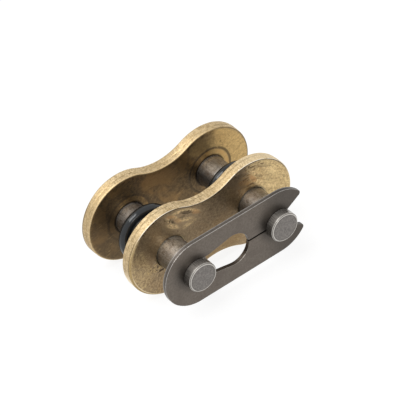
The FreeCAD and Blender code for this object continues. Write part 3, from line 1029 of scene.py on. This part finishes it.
def pin_steel(name):
    """Grey pins with brown specks and painted shade underneath, whose free ends have a chamfer darkened as
    painted shade and bright lines of painted highlight round it.
    """
    g = Graph(name)
    g.set(Metallic=0.85)
    cloud = g.noise(1.3, 4, 0.6, 0.6)
    fine = g.noise(0.32, 5, 0.72, 0.4, shift=(2, 6, 1))
    grain = g.noise(0.13, 3, 0.6, shift=(4, 8, 5))
    drawn = g.noise(0.12, 3, 0.6, stretch=(1, 12, 1), shift=(3, 3, 3))
    radius = g.from_pins()
    facing = g.facing()
    side = pin_side(g, cloud, fine, grain, drawn)
    colour = g.mix(g.step(facing, 0.85, 0.95), side, pin_end(g, cloud, fine, grain, radius))
    # the chamfer darkened as painted shade
    chamfer = g.times(g.step(radius, END_FACE_RADIUS - 0.03, END_FACE_RADIUS), g.step(facing, 0.3, 0.5))
    colour = g.tint(colour, TIP_CHAMFER, chamfer, 0.9)
    # bright lines of painted highlight on the chamfer's edges, and on a turned line on the upper side
    inner_line = g.band(radius, END_FACE_RADIUS - 0.01, 0.015, 0.03)
    outer_line = g.step(radius, PIN_TIP_RADIUS - 0.045, PIN_TIP_RADIUS - 0.025)
    at_end = g.step(g.y, PIN_END_Y + 0.24, PIN_END_Y + 0.20)
    rear_line = g.times(g.band(g.y, PIN_END_Y + 0.34, 0.03, 0.04), g.step(g.normal[2], 0.2, 0.7), 0.8)
    lines = g.most(g.times(g.most(inner_line, outer_line), at_end), rear_line)
    g.colour(g.tint(colour, TIP_PAINTED_HIGHLIGHT, lines, g.step(fine, 0.2, 0.45), 0.85))
    g.rough(g.add(g.times(fine, 0.22), 0.23))
    g.bump(g.blend((drawn, 0.5), (fine, 1.0), (grain, 0.5)), 0.014)
    return g.material


def clip_steel(name):
    """Dark blued spring steel, its outer rims bright from wear and painted highlight, with painted shade
    at its right end, round the pins' tips and on its walls.
    """
    g = Graph(name)
    g.set(Metallic=1.0)
    cloud = g.noise(3.0, 4, 0.6, 0.6)
    fine = g.noise(0.35, 5, 0.65, 0.3, shift=(2, 6, 1))
    drawn = g.noise(0.16, 3, 0.6, stretch=(14, 1, 1), shift=(3, 3, 3))
    colour = g.shades(fine, 0.25, 0.75, BLUED)
    colour = g.tint(colour, BLUED_CLOUD, g.step(cloud, 0.46, 0.66), 0.5)
    # painted shade over the right end
    colour = g.tint(colour, CLIP_PAINTED_SHADE, g.step(g.x, 3.5, 9.0), 0.60)
    # painted shade round each pin's tip
    colour = g.tint(colour, CLIP_PAINTED_SHADOW, g.step(g.from_pins(), 4.0, 2.6), 0.40)
    # painted shadow up and to the left of each pin's tip
    for x in PIN_PLACES:
        beside = g.from_point(x - 1.2, 1.0, 3.6, 3.4)
        colour = g.tint(colour, CLIP_PAINTED_SHADOW, g.step(beside, 1.1, 0.5), 0.55)
    facing = g.facing()
    # the walls darkened as painted shade
    wall = g.step(facing, 0.35, 0.15)
    colour = g.tint(colour, CLIP_WALL_PAINTED_SHADE, wall, 0.35)
    # bright rims along the outline, partly wear and partly painted highlight
    high = g.math("ABSOLUTE", g.z)
    outline = g.most(g.step(high, 3.0, 3.6), g.step(g.x, -9.5, -10.5))
    worn = g.blend((outline, 0.45), (g.step(high, 0.4, 0.9), 0.30))
    front_rim = g.times(g.band(facing, 0.52, 0.14, 0.08), worn)
    rear_rim = g.times(wall, g.band(g.y, CLIP_REAR_Y - 0.16, 0.04, 0.04), outline, 0.30)
    g.colour(g.tint(colour, CLIP_RIM_WEAR_AND_HIGHLIGHT, g.most(front_rim, rear_rim), g.step(fine, 0.20, 0.50)))
    g.rough(g.add(g.blend((fine, 0.18), (cloud, 0.1)), 0.26))
    g.bump(g.blend((drawn, 0.6), (fine, 1.0)), 0.008)
    return g.material


def rubber(name):
    """Smooth black rubber with a faint moulded bloom."""
    g = Graph(name)
    g.set(Metallic=0.0, Specular_IOR_Level=0.45)
    cloud = g.noise(1.5, 4, 0.6)
    g.colour(g.mix(cloud, *RUBBER))
    g.rough(g.add(g.times(cloud, 0.10), 0.07))
    g.bump(g.noise(0.3, 4, 0.6, shift=(5, 5, 5)), 0.006)
    return g.material


def dress_plate(name, node, body, outward, hole_path):
    """Replaces a CAD plate by its dressed form."""
    plate = DressedPlate(name, node, outward, hole_path).piece
    plate.data.materials.append(gold_plate(node + "_gold", node, outward))
    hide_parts(node)
    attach(plate, body)


def finish_node(node, material):
    """Gives a CAD node its material; its mesh stays."""
    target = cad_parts[node]
    target.data.materials.clear()
    target.data.materials.append(material)


bpy.context.scene.view_settings.view_transform = "Standard"
make_camera()
make_world()
make_floor()
softbox("overhead", place=(-0.16, 0.02, 0.40), size=0.24, power=0.95)
softbox("front", place=(-0.10, -0.36, 0.26), size=0.20, power=0.45)
softbox("rim", place=(-0.17, 0.27, 0.31), size=0.24, power=0.25)

dress_plate("rear_plate_dressed", "rear_plate", "link", 1, REAR_HOLE)
dress_plate("cover_plate_dressed", "cover_plate", "cover", -1, COVER_HOLE)
pins = pin_steel("pin_steel_ground")
finish_node("left_pin", pins)
finish_node("right_pin", pins)
finish_node("spring_clip", clip_steel("clip_steel_blued"))
rings = rubber("ring_rubber_black")
for side in ("left", "right"):
    for row in ("front", "rear"):
        finish_node(side + "_" + row + "_ring", rings)
